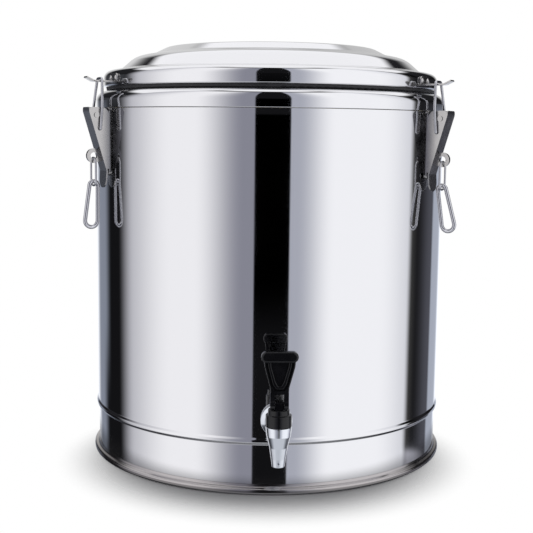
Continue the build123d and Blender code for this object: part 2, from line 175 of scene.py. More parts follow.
class Grain(Enum):
    """Direction in which a polishing belt has left its lines, as the axis across them."""

    ROUND = "Z"
    NONE = ""


@dataclass(frozen=True)
class Metal:
    """A bare or plated metal, with its polishing lines and the sheet's slow waves.

    Attributes:
        name: Material and process.
        colour: Reflectance as sRGB hex.
        roughness: Mean roughness.
        spread: How far the roughness wanders.
        patch_mm: Size of the roughness patches.
        grain: Direction of the polishing lines.
        line_mm: Spacing of the polishing lines.
        line_depth_mm: Depth of the lines as bump.
        wave_mm: Length of the sheet's slow waves.
        wave_depth_mm: Depth of those waves as bump.
    """

    name: str
    colour: str
    roughness: float
    spread: float = 0.02
    patch_mm: float = 30.0
    grain: Grain = Grain.NONE
    line_mm: float = 0.4
    line_depth_mm: float = 0.0
    wave_mm: float = 120.0
    wave_depth_mm: float = 0.0

    def build(self) -> bpy.types.Material:
        """Make the material.

        Returns:
            The new material.
        """
        mat, tree, shader = start_finish(self.name)
        shader.inputs["Base Color"].default_value = linear(self.colour)
        shader.inputs["Metallic"].default_value = 1.0
        place = add(tree, "TexCoord").outputs["Object"]
        patch = add(
            tree, "TexNoise", {"Vector": place, "Scale": cycles(self.patch_mm), "Detail": 3.0}
        )
        wander(shader, patch.outputs["Fac"], self.roughness, self.spread)
        heights: list[tuple[Socket, float]] = []
        if self.wave_depth_mm:
            wave = add(
                tree, "TexNoise", {"Vector": place, "Scale": cycles(self.wave_mm), "Detail": 0.0}
            )
            heights.append((wave.outputs["Fac"], self.wave_depth_mm))
        if self.grain is not Grain.NONE:
            across = add(tree, "SeparateXYZ", {"Vector": place}).outputs[self.grain.value]
            lines = add(
                tree,
                "TexNoise",
                {"W": across, "Scale": cycles(self.line_mm), "Detail": 2.0},
                noise_dimensions="1D",
            )
            heights.append((lines.outputs["Fac"], self.line_depth_mm))
        under: dict[str, Socket] = {}
        for height, depth_mm in heights:
            bump = add(tree, "Bump", {"Height": height, "Distance": depth_mm * MM} | under)
            under = {"Normal": bump.outputs["Normal"]}
        if under:
            tree.links.new(under["Normal"], shader.inputs["Normal"])
        return mat


@dataclass(frozen=True)
class Moulded:
    """A moulded polymer: plastic, rubber or foam, with the skin of its mould.

    Attributes:
        name: Material and process.
        colour: Body colour as sRGB hex.
        worn: Colour of the lighter patches.
        roughness: Mean roughness.
        spread: How far the roughness wanders.
        grain_mm: Size of the mould's grain.
        grain_depth_mm: Depth of that grain.
        ior: Index of refraction.
        shine: How much of the mirror image that index gives is left, as half its share.
    """

    name: str
    colour: str
    worn: str
    roughness: float
    spread: float = 0.06
    grain_mm: float = 0.5
    grain_depth_mm: float = 0.02
    ior: float = 1.5
    shine: float = 0.5

    def build(self) -> bpy.types.Material:
        """Make the material.

        Returns:
            The new material.
        """
        mat, tree, shader = start_finish(self.name)
        shader.inputs["IOR"].default_value = self.ior
        shader.inputs["Specular IOR Level"].default_value = self.shine
        place = add(tree, "TexCoord").outputs["Object"]
        patch_mm = PATCH_GRAINS * self.grain_mm
        patch = add(
            tree, "TexNoise", {"Vector": place, "Scale": cycles(patch_mm), "Detail": 4.0}
        ).outputs["Fac"]
        tone = add(
            tree,
            "Mix",
            {"Factor": patch, "A": linear(self.colour), "B": linear(self.worn)},
            data_type="RGBA",
        )
        tree.links.new(tone.outputs["Result"], shader.inputs["Base Color"])
        wander(shader, patch, self.roughness, self.spread)
        cells = add(
            tree, "TexNoise", {"Vector": place, "Scale": cycles(self.grain_mm), "Detail": 2.0}
        )
        skin = add(
            tree,
            "Bump",
            {
                "Height": cells.outputs["Fac"],
                "Distance": self.grain_depth_mm * MM,
                "Strength": SKIN_STRENGTH,
            },
        )
        tree.links.new(skin.outputs["Normal"], shader.inputs["Normal"])
        return mat


# Bright-rolled stainless sheet, buffed: a clear mirror with slow waves and faint lines round the
# drum. Real buffing lines are too fine to show, so they are drawn 1.2 mm apart.
SHEET = Metal(
    "stainless sheet, buffed",
    "#e0e0e1",
    0.045,
    spread=0.012,
    patch_mm=60.0,
    grain=Grain.ROUND,
    line_mm=1.2,
    line_depth_mm=0.0004,
    wave_mm=90.0,
    wave_depth_mm=0.010,
)
# Spun stainless lid, buffed: a soft mirror with the slow waves that the spinning tool leaves.
SPUN = Metal(
    "stainless lid, spun and buffed",
    "#e1e1e2",
    0.06,
    spread=0.015,
    patch_mm=40.0,
    wave_mm=70.0,
    wave_depth_mm=0.008,
)
# Stamped stainless fittings, tumbled: satin faces, dented a little by the tumbling stones.
STAMPED = Metal(
    "stainless stamping, tumbled",
    "#b4b2b0",
    0.19,
    spread=0.05,
    patch_mm=12.0,
    wave_mm=18.0,
    wave_depth_mm=0.05,
)
# Rolled stainless foot ring: left as it comes off the rolls, duller than the sheet.
ROLLED = Metal("stainless ring, rolled", "#b0acab", 0.16, spread=0.04, patch_mm=20.0)
# Drawn stainless wire: bright, with patches where the die has dragged.
WIRE = Metal("stainless wire, drawn", "#c6c6ca", 0.11, spread=0.03, patch_mm=6.0)
# Deep-drawn tank: satin inside, as it leaves the press.
DRAWN = Metal("stainless tank, deep drawn", "#c6c6c8", 0.24, spread=0.05, patch_mm=22.0)
# Chrome on a brass casting: a cool mirror over the slight waves of the casting.
CHROME = Metal(
    "brass casting, chrome plated",
    "#dfe3e8",
    0.05,
    spread=0.02,
    patch_mm=7.0,
    wave_mm=8.0,
    wave_depth_mm=0.015,
)
# Oil-tempered spring wire: dull and dark.
SPRING = Metal("spring wire, tempered", "#8d8d92", 0.32, spread=0.08, patch_mm=3.0)
# Black ABS, injection moulded: a soft gloss over a spark-eroded grain, drawn 0.5 mm wide because
# the real one is too fine to show.
ABS = Moulded(
    "ABS, injection moulded black",
    "#09090b",
    "#0f0f12",
    0.20,
    spread=0.04,
    grain_depth_mm=0.006,
    ior=1.55,
    shine=0.3,
)
# Silicone, press moulded, dark grey: dull and dark, so that the seam under the lid stays dark; the
# grey stands in part for the seam's painted shade.
SILICONE = Moulded(
    "silicone, press moulded dark grey, seam shade", "#2c2c2e", "#3a3a3c", 0.55, grain_mm=0.8, ior=1.42
)
# Silicone, press moulded, natural: milky and dull, for the tap's washers and valve cup.
SILICONE_NATURAL = Moulded(
    "silicone, press moulded natural", "#cfcfc9", "#dcdcd6", 0.5, grain_mm=0.8, ior=1.42
)
# Polyurethane foam, foamed in place: cream, with open cells.
FOAM = Moulded(
    "polyurethane, foamed in place", "#e2d3a2", "#efe4bd", 0.9, grain_mm=1.2, grain_depth_mm=0.4
)
# Polypropylene, extruded: white and waxy, for the sleeve through the foam.
SLEEVE = Moulded("polypropylene, extruded white", "#dcdcd8", "#e8e8e4", 0.45, grain_mm=0.9)


def turn_between(u: Vector, v: Vector) -> float:
    """Give the angle from one direction of a path to the next, positive to the left."""
    return math.atan2(u.x * v.y - u.y * v.x, u.dot(v))


def hold_flat(outline: list[Spot]) -> list[Spot]:
    """Put a point close to each soft end of a long run, so that smooth shading leaves it flat.

    Args:
        outline: Points in order.

    Returns:
        The points with the new ones among them.
    """
    held = []
    for start, end in zip(outline, outline[1:]):
        held.append(start)
        run = Vector(end[:2]) - Vector(start[:2])
        if run.length > LONG_RUN_MM:
            share = HOLD_MM / run.length
            for sharp, t in ((start[2], share), (end[2], 1 - share)):
                if not sharp:
                    held.append((start[0] + run.x * t, start[1] + run.y * t, False))
    return held + outline[-1:]


def rounded(corners: list[Corner]) -> list[Spot]:
    """Follow a path of lines and corner arcs.

    Args:
        corners: The path.

    Returns:
        Points along it.
    """
    out = [(corners[0][0], corners[0][1], True)]
    for before, here, after in zip(corners, corners[1:], corners[2:]):
        spot, radius = Vector(here[:2]), here[2]
        u = (spot - Vector(before[:2])).normalized()
        v = (Vector(after[:2]) - spot).normalized()
        turn = turn_between(u, v)
        if radius < LEAST_ROUND_MM or abs(turn) < LEAST_TURN_RAD:
            out.append((spot.x, spot.y, abs(turn) > SHARP_TURN_RAD))
            continue
        cut = radius * abs(math.tan(turn / 2))
        centre = spot - u * cut + Vector((-u.y, u.x)) * radius * math.copysign(1.0, turn)
        arm = spot - u * cut - centre
        count = max(2, math.ceil(abs(math.degrees(turn)) / ARC_STEP_DEG))
        for i in range(count + 1):
            p = centre + arm @ Matrix.Rotation(-turn * i / count, 2)
            out.append((p.x, p.y, False))
    out.append((corners[-1][0], corners[-1][1], True))
    return hold_flat(out)


def offset(corners: list[Corner], d: float) -> list[Corner]:
    """Move an open path to its left, with its corners kept concentric.

    Args:
        corners: The path.
        d: Distance, in millimetres.

    Returns:
        The moved path.
    """
    out = []
    last = len(corners) - 1
    for i, (x, y, r) in enumerate(corners):
        here = Vector((x, y))
        u = (here - Vector(corners[i - 1][:2])).normalized() if i else None
        v = (Vector(corners[i + 1][:2]) - here).normalized() if i < last else u
        u = u or v
        turn = turn_between(u, v)
        p = here + Vector((-u.y, u.x)) * d - u * d * math.tan(turn / 2)
        out.append((p.x, p.y, max(r - math.copysign(d, turn), 0.0) if r else 0.0))
    return out


def place_mesh(name: str, bm: bmesh.types.BMesh) -> bpy.types.Object:
    """Put a finished mesh in the scene.

    Args:
        name: Name of the piece.
        bm: The mesh, which is freed.

    Returns:
        The new object.
    """
    mesh = bpy.data.meshes.new(name)
    bm.to_mesh(mesh)
    bm.free()
    obj = bpy.data.objects.new(name, mesh)
    bpy.context.scene.collection.objects.link(obj)
    return obj


def lathe(name: str, outline: list[Spot]) -> bpy.types.Object:
    """Turn a closed outline about the drum's axis.

    Args:
        name: Name of the piece.
        outline: The outline, in millimetres.

    Returns:
        The new object.
    """
    bm = bmesh.new()
    rings = []
    angles = [math.tau * k / TURNS for k in range(TURNS)]
    for r, z, _ in outline:
        if r < ON_AXIS_MM:
            rings.append([bm.verts.new((0, 0, z * MM))])
            continue
        spots = [(r * MM * math.sin(a), -r * MM * math.cos(a), z * MM) for a in angles]
        rings.append([bm.verts.new(spot) for spot in spots])
    for i, ring in enumerate(rings):
        other = rings[(i + 1) % len(rings)]
        if len(ring) == 1 and len(other) == 1:
            continue
        for k in range(TURNS):
            n = (k + 1) % TURNS
            corners = [
                ring[k % len(ring)],
                ring[n % len(ring)],
                other[n % len(other)],
                other[k % len(other)],
            ]
            face = bm.faces.new(list(dict.fromkeys(corners)))
            face.smooth = True
    for ring, (_, _, sharp) in zip(rings, outline):
        if sharp and len(ring) > 1:
            for k in range(TURNS):
                edge = bm.edges.get((ring[k], ring[(k + 1) % TURNS]))
                if edge:
                    edge.smooth = False
    bmesh.ops.recalc_face_normals(bm, faces=bm.faces)
    return place_mesh(name, bm)


def spun_sheet(name: str, path: list[Corner], thickness: float) -> bpy.types.Object:
    """Turn a bent sheet about the drum's axis.

    Args:
        name: Name of the piece.
        path: Outer face of the sheet.
        thickness: Sheet thickness to the left of the path.

    Returns:
        The new object.
    """
    return lathe(name, rounded(path) + rounded(offset(path, thickness))[::-1])


def dress(obj: bpy.types.Object, material: bpy.types.Material) -> None:
    """Give a piece one material."""
    obj.data.materials.clear()
    obj.data.materials.append(material)


def stand_for(obj: bpy.types.Object, node: str, body: str) -> None:
    """Put a Blender piece in the place of a CAD node.

    Args:
        obj: The piece.
        node: The node that it stands for.
        body: The body that it rides on.
    """
    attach(obj, body)
    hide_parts(node)
    LOG.info("%s stands for %s on %s", obj.name, node, body)


def keep(node: str, material: bpy.types.Material, edge_mm: float = 0.0) -> None:
    """Keep a CAD node, give it a finish and break its edges.

    Args:
        node: Name of the node.
        material: Its finish.
        edge_mm: Width of the broken edges, or zero to leave them.
    """
    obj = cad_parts[node]
    dress(obj, material)
    if edge_mm:
        weld = obj.modifiers.new("weld", "WELD")
        weld.merge_threshold = WELD_MM * MM
        bevel = obj.modifiers.new("edge", "BEVEL")
        bevel.width = edge_mm * MM
        bevel.segments = EDGE_SEGMENTS
        bevel.limit_method = "ANGLE"
        bevel.angle_limit = math.radians(EDGE_FROM_DEG)
        bevel.use_clamp_overlap = True
        obj.modifiers.new("normals", "WEIGHTED_NORMAL").keep_sharp = True
    LOG.info("%s keeps its solid, in %s", node, material.name)


@dataclass
class Drum:
    """The standing barrel: shell, collar, foot and the tank inside, sizes in millimetres."""

    # Shell, with a neck that draws in under the collar and a skirt below the rib.
    sheet: float = 1.0
    shell_r: float = 180.0
    shell_top: float = 352.9
    neck_in: float = 0.2
    neck_below: float = 6.0
    neck_round: float = 90.0
    skirt_r: float = 179.0
    skirt_z: float = 9.1
    # Rib: the height of its middle, half its flat, and how far its slopes run down and up.
    rib_z: float = 50.0
    rib_out: float = 1.6
    rib_half: float = 1.3
    rib_below: float = 3.6
    rib_above: float = 3.4
    rib_round: float = 1.6
    rib_root: float = 1.4
    # Collar, from its hem over the shoulder to the mouth of the tank.
    collar_sheet: float = 1.2
    collar_bottom: float = 353.2
    collar_top: float = 371.0
    hem_in: float = 0.9
    hem_round: float = 0.8
    shoulder: float = 10.0
    mouth_r: float = 163.5
    mouth_round: float = 1.4
    tank_lip_z: float = 368.6
    # Foot ring: a roll, its root against the skirt, its lip, and the ledge under the base plate.
    foot_r: float = 184.0
    foot_in_r: float = 174.0
    foot_round: float = 2.4
    foot_z: float = 5.2
    foot_top_round: float = 2.2
    root_out: float = 0.8
    root_z: float = 6.6
    root_round: float = 1.5
    lip_out: float = 0.3
    lip_in_r: float = 177.9
    lip_z: float = 9.0
    ledge_r: float = 168.0
    ledge_z: float = 5.0
    ledge_top: float = 6.4

    def shell(self) -> bpy.types.Object:
        """Build the rolled shell with its rib.

        Returns:
            The new object.
        """
        out = self.shell_r + self.rib_out
        path = [
            (self.skirt_r, self.skirt_z, 0.0),
            (self.skirt_r, self.rib_z - self.rib_below, self.rib_root),
            (out, self.rib_z - self.rib_half, self.rib_round),
            (out, self.rib_z + self.rib_half, self.rib_round),
            (self.shell_r, self.rib_z + self.rib_above, self.rib_root),
            (self.shell_r, self.shell_top - self.neck_below, self.neck_round),
            (self.shell_r - self.neck_in, self.shell_top, 0.0),
        ]
        return spun_sheet("shell_skin", path, self.sheet)

    def collar(self) -> bpy.types.Object:
        """Build the rim with its rounded shoulder.

        Returns:
            The new object.
        """
        path = [
            (self.shell_r - self.hem_in, self.collar_bottom, 0.0),
            (self.shell_r, self.collar_bottom, self.hem_round),
            (self.shell_r, self.collar_top, self.shoulder),
            (self.mouth_r, self.collar_top, self.mouth_round),
            (self.mouth_r, self.tank_lip_z, 0.0),
        ]
        return spun_sheet("collar_skin", path, self.collar_sheet)

    def foot(self) -> bpy.types.Object:
        """Build the rolled foot ring.

        Returns:
            The new object.
        """
        path = [
            (self.foot_in_r, 0.0, 0.0),
            (self.foot_r, 0.0, self.foot_round),
            (self.foot_r, self.foot_z, self.foot_top_round),
            (self.skirt_r + self.root_out, self.root_z, self.root_round),
            (self.skirt_r + self.lip_out, self.lip_z, 0.0),
            (self.lip_in_r, self.lip_z, 0.0),
            (self.lip_in_r, self.ledge_top, 0.0),
            (self.ledge_r, self.ledge_top, 0.0),
            (self.ledge_r, self.ledge_z, 0.0),
            (self.foot_in_r, self.ledge_z, 0.0),
        ]
        return lathe("foot_roll", rounded(path))

    def build(
        self,
        sheet: bpy.types.Material,
        rolled: bpy.types.Material,
        drawn: bpy.types.Material,
        foam: bpy.types.Material,
    ) -> None:
        """Make the drum's skins and dress its nodes.

        Args:
            sheet: Finish of the shell and the collar.
            rolled: Finish of the foot ring.
            drawn: Finish of the tank and the base plate.
            foam: Insulation between tank and shell.
        """
        for obj, node, finish in (
            (self.shell(), "outer_shell", sheet),
            (self.collar(), "top_collar", sheet),
            (self.foot(), "base_ring", rolled),
        ):
            dress(obj, finish)
            stand_for(obj, node, "barrel")
        for node in ("base_plate", "inner_tank", "tank_floor"):
            keep(node, drawn)
        keep("body_insulation", foam)


@dataclass
class Lid:
    """The stepped lid with its pan, foam, gasket and hooks, sizes in millimetres.

    The tiers are the steps of the dome, from the band up to its flat top.
    """

    sheet: float = 1.0
    hem_r: float = 170.2
    hem_round: float = 1.8
    band_r: float = 172.3
    band_bottom: float = 374.6
    band_top: float = 390.2
    band_round: float = 7.6
    tiers: tuple[Corner, ...] = ((155.2, 393.0, 2.0), (140.5, 405.9, 25.0), (122.0, 409.4, 8.0))
    top: float = 416.4
    top_r: float = 108.0
    top_round: float = 10.0
    hook_edge: float = 0.3

    def shell(self) -> bpy.types.Object:
        """Build the stepped dome and its band.

        Returns:
            The new object.
        """
        path = [
            (self.hem_r, self.band_bottom, 0.0),
            (self.band_r, self.band_bottom, self.hem_round),
            (self.band_r, self.band_top, self.band_round),
            *self.tiers,
            (self.top_r, self.top, self.top_round),
            (0.0, self.top, 0.0),
        ]
        return spun_sheet("lid_skin", path, self.sheet)

    def build(
        self,
        spun: bpy.types.Material,
        stamped: bpy.types.Material,
        drawn: bpy.types.Material,
        silicone: bpy.types.Material,
        foam: bpy.types.Material,
    ) -> None:
        """Make the lid's skin and dress its nodes.

        Args:
            spun: Finish of the dome and its band.
            stamped: Finish of the hooks and their rivets.
            drawn: Finish of the pan.
            silicone: The gasket's rubber.
            foam: Insulation between pan and dome.
        """
        skin = self.shell()
        dress(skin, spun)
        stand_for(skin, "lid_shell", "lid")
        keep("lid_pan", drawn)
        keep("lid_insulation", foam)
        keep("lid_gasket", silicone)
        keep("lid_hook_rivets", stamped)
        for side in SIDES:
            keep(f"lid_hook_{side}", stamped, self.hook_edge)


@dataclass
class Latches:
    """The draw latches with their bails, link rings and pull loops."""

    stamped_kinds: tuple[str, ...] = ("latch_base", "latch_lever")
    wire_kinds: tuple[str, ...] = ("latch_bail", "link_ring", "pull_loop")
    edge_mm: float = 0.4

    def build(self, stamped: bpy.types.Material, wire: bpy.types.Material) -> None:
        """Dress every latch.

        Args:
            stamped: Finish of the bases, levers, pins and rivets.
            wire: Finish of the bails, rings and loops.
        """
        for side in SIDES:
            for kind in self.stamped_kinds:
                keep(f"{kind}_{side}", stamped, self.edge_mm)
            for kind in self.wire_kinds:
                keep(f"{kind}_{side}", wire)
            keep(f"latch_pin_{side}", stamped)
        keep("latch_rivets", stamped)


@dataclass
class Tap:
    """The lever tap and what holds it in the wall, sizes in millimetres.

    The coil is the closing spring.
    """

    lever_edge: float = 0.8
    axis_y: float = -216.0
    coil_r: float = 3.6
    coil_z: float = 70.7
    coil_top: float = 83.6
    coil_pitch: float = 2.5
    coil_turns: int = 5
    coil_wire_r: float = 0.45
    coil_kept: float = 0.64
    steps_per_turn: int = 36
    wire_sides: int = 12

    def coil(self) -> bpy.types.Object:
        """Build the closing spring.

        Returns:
            The new object.
        """
        bm = bmesh.new()
        rings = []
        climb = self.coil_pitch / math.tau
        angles = [math.tau * k / self.wire_sides for k in range(self.wire_sides)]
        for i in range(self.steps_per_turn * self.coil_turns + 1):
            turn = math.tau * i / self.steps_per_turn
            out = Vector((math.cos(turn), math.sin(turn), 0))
            along = Vector((-out.y, out.x, climb / self.coil_r)).normalized()
            side = along.cross(out)
            centre = out * self.coil_r + Vector((0, self.axis_y, self.coil_z + climb * turn))
            arms = [self.coil_wire_r * (out * math.cos(a) + side * math.sin(a)) for a in angles]
            rings.append([bm.verts.new((centre + arm) * MM) for arm in arms])
        for low, high in zip(rings, rings[1:]):
            for k in range(self.wire_sides):
                n = (k + 1) % self.wire_sides
                bm.faces.new((low[k], low[n], high[n], high[k])).smooth = True
        for end in (rings[0], rings[-1]):
            bm.faces.new(end)
        bmesh.ops.recalc_face_normals(bm, faces=bm.faces)
        return place_mesh("closing_coil", bm)

    def build(
        self,
        chrome: bpy.types.Material,
        plastic: bpy.types.Material,
        steel: bpy.types.Material,
        silicone: bpy.types.Material,
        spring: bpy.types.Material,
        sleeve: bpy.types.Material,
    ) -> None:
        """Make the spring and dress the tap's nodes.

        Args:
            chrome: Finish of the body and the shank.
            plastic: Black plastic of the bonnet, stem and lever.
            steel: Finish of the nut and the lever's pin.
            silicone: Rubber of the seat cup and the washers.
            spring: Finish of the spring.
            sleeve: Plastic of the sleeve through the foam.
        """
        for node in ("tap_body", "tap_shank"):
            keep(node, chrome)
        for node in ("tap_bonnet", "tap_stem"):
            keep(node, plastic)
        keep("tap_lever", plastic, self.lever_edge)
        for node in ("tap_nut", "tap_pin"):
            keep(node, steel)
        for node in ("tap_seat_cup", "tap_washer_outer", "tap_washer_inner"):
            keep(node, silicone)
        coil = self.coil()
        dress(coil, spring)
        stand_for(coil, "tap_spring", "barrel")
        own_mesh(coil)
        keep("outlet_sleeve", sleeve)


class Side(Enum):
    """The way round the drum in which azimuths are counted from the tap."""

    LEFT = -1
    RIGHT = 1


@dataclass(frozen=True)
class Panel:
    """A soft light beside the drum, by the directions it is seen in.

    Attributes:
        side: Side of the tap that it is on.
        near: Azimuths, in degrees from the tap, between which the light comes up.
        far: Azimuths between which it dies away.
        colour: Light as sRGB hex.
        strength: Brightness.
        top: Elevations between which it ends.
        foot: Elevations between which it begins.
    """

    side: Side
    near: Span
    far: Span
    colour: str
    strength: float
    top: Span = (61.0, 73.0)
    foot: Span = (-90.0, -89.0)

    def glow(self, tree: bpy.types.NodeTree, azimuth: Socket, elevation: Socket) -> Socket:
        """Work out the panel's light by direction.

        Args:
            tree: Node tree of the world.
            azimuth: Degrees round from the tap, to the right.
            elevation: Degrees over the horizon.

        Returns:
            The light.
        """
        away = add(tree, "Math", {0: azimuth, 1: float(self.side.value)}, operation="MULTIPLY")
        lit = None
        for angle, (low, high), start in (
            (away.outputs[0], self.near, 0.0),
            (away.outputs[0], self.far, 1.0),
            (elevation, self.foot, 0.0),
            (elevation, self.top, 1.0),
        ):
            edge = add(
                tree,
                "MapRange",
                {
                    "Value": angle,
                    "From Min": low,
                    "From Max": high,
                    "To Min": start,
                    "To Max": 1.0 - start,
                },
                interpolation_type="SMOOTHSTEP",
            ).outputs["Result"]
            if lit is None:
                lit = edge
            else:
                lit = add(tree, "Math", {0: lit, 1: edge}, operation="MULTIPLY").outputs[0]
        tint = [c * self.strength for c in linear(self.colour)[:3]]
        return add(tree, "VectorMath", {0: tint, "Scale": lit}, operation="SCALE").outputs[0]


# Ends that several panels share, in degrees.
PAST_BACK: Span = (190.0, 200.0)
HORIZON: Span = (0.0, 2.2)
TABLE_EDGE: Span = (-15.0, -9.0)
ROOM_TOP: Span = (5.5, 12.5)
HIGH_FOOT: Span = (8.0, 14.0)
HIGH_TOP: Span = (40.0, 60.0)
GAP_LEFT: Span = (-14.0, -12.0)
GAP_RIGHT: Span = (11.0, 13.0)
# Colour of what the room sends back.
ROOM_GREY = "#c8c8d4"

# Two tall lights with a dark gap between them at the tap. Each is a cool sheet with a hard edge at
# the gap, and a warm white that comes up across it in two layers.
TALL_LIGHTS = (
    Panel(Side.LEFT, (11.5, 12.5), (100.0, 118.0), "#d3d4e6", 0.47),
    Panel(Side.LEFT, (18.5, 52.0), (100.0, 118.0), "#fffefa", 0.25),
    Panel(Side.LEFT, (18.5, 52.0), (66.0, 114.0), "#fffefa", 0.56),
    Panel(Side.RIGHT, (9.9, 10.7), (98.5, 105.0), "#d3d6e4", 0.76),
    Panel(Side.RIGHT, (14.0, 40.0), (98.5, 105.0), "#fffdf6", 0.26),
    Panel(Side.RIGHT, (14.0, 40.0), (72.0, 112.0), "#fffdf6", 0.40),
)
# Cool light from behind, which the wall and the skirt show along their two edges.
EDGE_LIGHTS = (
    Panel(Side.LEFT, (129.0, 141.0), PAST_BACK, "#c9d2e6", 0.44, top=HORIZON, foot=TABLE_EDGE),
    Panel(Side.LEFT, (134.0, 146.0), PAST_BACK, "#c9d2e6", 0.44, top=TABLE_EDGE),
    Panel(Side.LEFT, (108.0, 122.0), PAST_BACK, "#c8ccd8", 0.07, top=ROOM_TOP, foot=(0.5, 2.2)),
    Panel(Side.RIGHT, (110.0, 131.0), PAST_BACK, "#c6c8dc", 0.13, top=HORIZON),
    Panel(Side.RIGHT, (132.0, 136.5), PAST_BACK, "#ccd4e4", 0.60, top=HORIZON),
    Panel(Side.RIGHT, (97.0, 108.0), (112.0, 136.0), ROOM_GREY, 1.0, top=(-17.0, -16.6)),
)
# The dim room itself, round the sides and in the gap.
ROOM_GLOW = (
    Panel(Side.LEFT, (100.0, 112.0), PAST_BACK, ROOM_GREY, 0.014, top=ROOM_TOP),
    Panel(Side.RIGHT, (96.0, 108.0), PAST_BACK, ROOM_GREY, 0.026, top=ROOM_TOP),
    Panel(Side.LEFT, (108.0, 122.0), PAST_BACK, ROOM_GREY, 0.03, top=HIGH_TOP, foot=HIGH_FOOT),
    Panel(Side.RIGHT, (108.0, 122.0), PAST_BACK, ROOM_GREY, 0.03, top=HIGH_TOP, foot=HIGH_FOOT),
    Panel(Side.RIGHT, GAP_LEFT, GAP_RIGHT, ROOM_GREY, 0.013, top=(-12.0, -8.0)),
    Panel(Side.RIGHT, GAP_LEFT, GAP_RIGHT, ROOM_GREY, 0.015, foot=(2.0, 4.0)),
)
# White light behind the drum.
BACK_LIGHTS = (
    Panel(Side.LEFT, (152.0, 166.0), PAST_BACK, "#ffffff", 0.70, top=(30.0, 40.0)),
    Panel(Side.RIGHT, (150.0, 162.0), PAST_BACK, "#ffffff", 0.60, top=(30.0, 40.0)),
)


@dataclass(frozen=True)
class Fade:
    """How the floor clears with the distance from a point, in metres.

    Attributes:
        centre: The point.
        start: Distance at which the floor begins to clear.
        reach: Distance at which it is gone.
        least: How clear it is up to the start.
    """

    centre: Span
    start: float
    reach: float
    least: float


